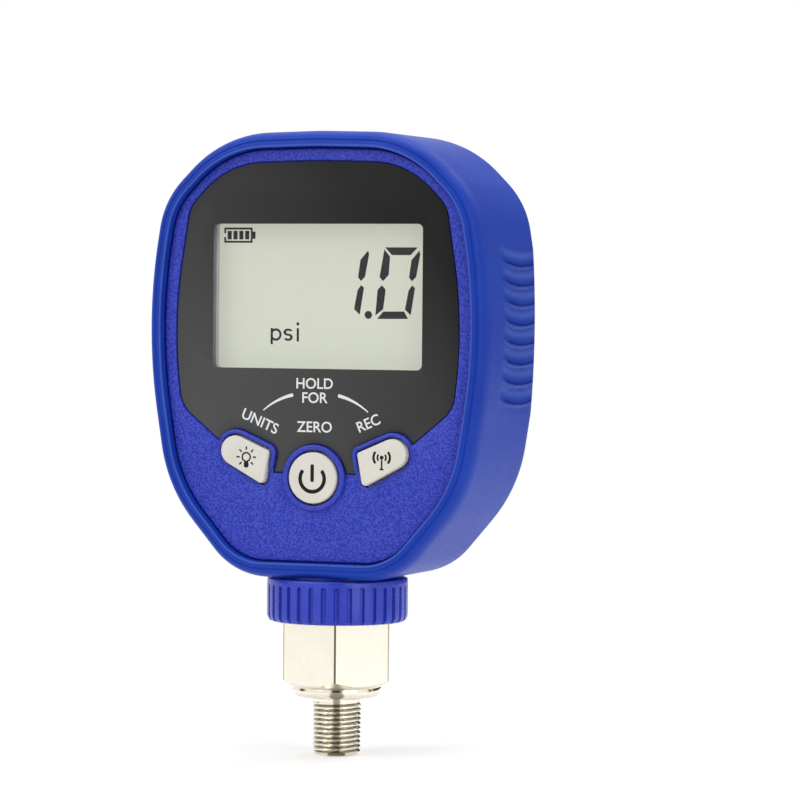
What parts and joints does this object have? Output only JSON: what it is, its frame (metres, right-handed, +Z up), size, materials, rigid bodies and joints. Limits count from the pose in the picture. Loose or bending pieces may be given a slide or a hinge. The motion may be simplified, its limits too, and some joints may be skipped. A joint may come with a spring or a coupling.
{
  "type": "digital pressure gauge",
  "caption": "Handheld-size digital pressure gauge: a rubber-booted display head with push keys, clamped by a fluted collar to a hexagon stem with a taper pipe thread.",
  "frame": {"origin": "centre of the stem's threaded end, on the stem's axis", "axes": "+Z up along the stem's axis towards the display head; the display faces -Y; +X is to the right of a person who reads the display"},
  "size_m": [0.0738, 0.037, 0.127],
  "materials": {
    "boot_rubber": "satin moulded rubber, royal blue",
    "case_abs": "fine spark-eroded texture, blue",
    "collar_abs": "satin moulded plastic, blue",
    "overlay_print": "printed dark grey film with a velvet surface",
    "window_acrylic": "polished clear acrylic",
    "lcd_glass": "grey-green reflective display glass",
    "white_styrene": "moulded white plastic",
    "diffuser_acrylic": "milky light guide",
    "led_epoxy": "pale yellow epoxy",
    "grey_silicone": "moulded silicone",
    "elastomer_strip": "pink elastomer strip",
    "board_laminate": "green solder mask on glass laminate",
    "chip_epoxy": "black moulded epoxy",
    "tinned_can": "tinned steel can",
    "key_abs": "warm off-white moulded plastic",
    "stem_stainless": "bright turned stainless steel",
    "spring_steel": "drawn spring wire",
    "screw_zinc": "zinc plated steel",
    "nitrile_seal": "black nitrile rubber",
    "sensor_ceramic": "fired alumina",
    "cell_sleeve": "plain dark sleeve over a steel can",
    "contact_nickel": "nickel plated spring strip",
    "lead_jacket": "grey ribbon insulation",
    "socket_nylon": "natural nylon"
  },
  "bodies": {
    "gauge": {"rubber_boot": "boot_rubber", "front_case": "case_abs", "case_seal": "nitrile_seal", "rear_case": "case_abs", "case_screw_upper_left": "screw_zinc", "case_screw_upper_right": "screw_zinc", "case_screw_lower_left": "screw_zinc", "case_screw_lower_right": "screw_zinc", "graphic_overlay": "overlay_print", "window_lens": "window_acrylic", "lcd_frame": "white_styrene", "lcd_glass": "lcd_glass", "lcd_connector": "elastomer_strip", "backlight_panel": "diffuser_acrylic", "backlight_led": "led_epoxy", "main_board": "board_laminate", "processor_chip": "chip_epoxy", "radio_module": "tinned_can", "lead_socket": "socket_nylon", "keypad_mat": "grey_silicone", "battery_cell_left": "cell_sleeve", "battery_cell_right": "cell_sleeve", "contact_plate_left": "contact_nickel", "contact_plate_right": "contact_nickel", "contact_spring_left": "spring_steel", "contact_spring_right": "spring_steel", "contact_link": "contact_nickel", "battery_door": "case_abs", "stem_fitting": "stem_stainless", "stem_seal": "nitrile_seal", "sensor_seal": "nitrile_seal", "pressure_sensor": "sensor_ceramic", "sensor_clip": "spring_steel", "sensor_board": "board_laminate", "sensor_lead": "lead_jacket", "lock_collar": "collar_abs"},
    "power_button": {"power_key": "key_abs"},
    "light_button": {"light_key": "key_abs"},
    "wireless_button": {"wireless_key": "key_abs"}
  },
  "joints": [
    {"name": "power_key_press", "type": "slide", "parent": "gauge", "child": "power_button", "axis": [0, 1, 0], "range_m": [0, 0.0008], "stiffness_N_per_m": 1500},
    {"name": "light_key_press", "type": "slide", "parent": "gauge", "child": "light_button", "axis": [0, 1, 0], "range_m": [0, 0.0008], "stiffness_N_per_m": 1500},
    {"name": "wireless_key_press", "type": "slide", "parent": "gauge", "child": "wireless_button", "axis": [0, 1, 0], "range_m": [0, 0.0008], "stiffness_N_per_m": 1500}
  ]
}
